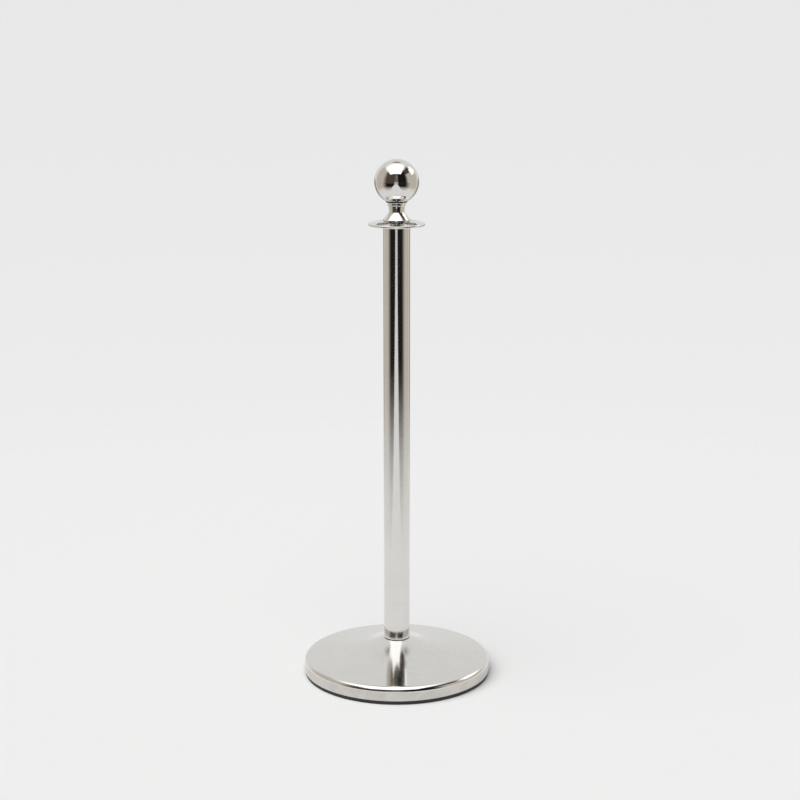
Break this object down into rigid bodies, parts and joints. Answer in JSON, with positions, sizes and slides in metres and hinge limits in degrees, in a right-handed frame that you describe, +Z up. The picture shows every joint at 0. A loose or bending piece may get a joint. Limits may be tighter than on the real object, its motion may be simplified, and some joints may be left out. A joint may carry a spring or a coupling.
{
  "type": "rope barrier stanchion",
  "caption": "Free-standing polished post with a ballasted round base, a flange with holes for rope hooks and a ball finial that unscrews.",
  "frame": {"origin": "centre of the foot ring's lower face, on the floor under the post", "axes": "+Z up along the post; the hook holes lie on the diagonals between +X and +Y"},
  "size_m": [0.36, 0.36, 1],
  "materials": {
    "polished_steel": "mirror polished stainless steel",
    "turned_steel": "turned, oiled",
    "zinc_steel": "zinc plated",
    "ballast_iron": "cast, painted black",
    "ring_rubber": "moulded, matt",
    "black_nylon": "smooth nylon"
  },
  "bodies": {
    "base": {"foot_ring": "ring_rubber", "base_cover": "polished_steel", "base_weight": "ballast_iron", "plate_washer": "zinc_steel", "bolt_spring_washer": "zinc_steel", "base_bolt": "zinc_steel"},
    "seat_ring": {"seat_ring": "black_nylon"},
    "post": {"post_tube": "polished_steel", "lower_plug": "turned_steel", "upper_plug": "turned_steel"},
    "rope_flange": {"rope_flange": "polished_steel"},
    "glide_ring": {"glide_ring": "black_nylon"},
    "finial": {"finial_neck": "polished_steel", "finial_stud": "zinc_steel", "nut_spring_washer": "zinc_steel", "lock_nut": "zinc_steel", "ball_boss": "turned_steel", "ball_shell": "polished_steel"}
  },
  "joints": [
    {"name": "post_lift", "type": "slide", "parent": "base", "child": "seat_ring", "axis": [0, 0, 1], "range_m": [0, 0.0266]},
    {"name": "post_turn", "type": "hinge", "parent": "seat_ring", "child": "post", "pos_m": [0, 0, 0.0715], "axis": [0, 0, 1], "range_deg": [0, 4780]},
    {"name": "flange_turn", "type": "hinge", "parent": "post", "child": "rope_flange", "pos_m": [0, 0, 0.8769], "axis": [0, 0, 1], "continuous": true},
    {"name": "finial_lift", "type": "slide", "parent": "post", "child": "glide_ring", "axis": [0, 0, 1], "range_m": [0, 0.0245]},
    {"name": "finial_turn", "type": "hinge", "parent": "glide_ring", "child": "finial", "pos_m": [0, 0, 0.8857], "axis": [0, 0, 1], "range_deg": [0, 5030]}
  ],
  "couplings": [
    {"joint": "post_lift", "follows": "post_turn", "m_per_rad": 0.00031831},
    {"joint": "finial_lift", "follows": "finial_turn", "m_per_rad": 0.00027852}
  ]
}
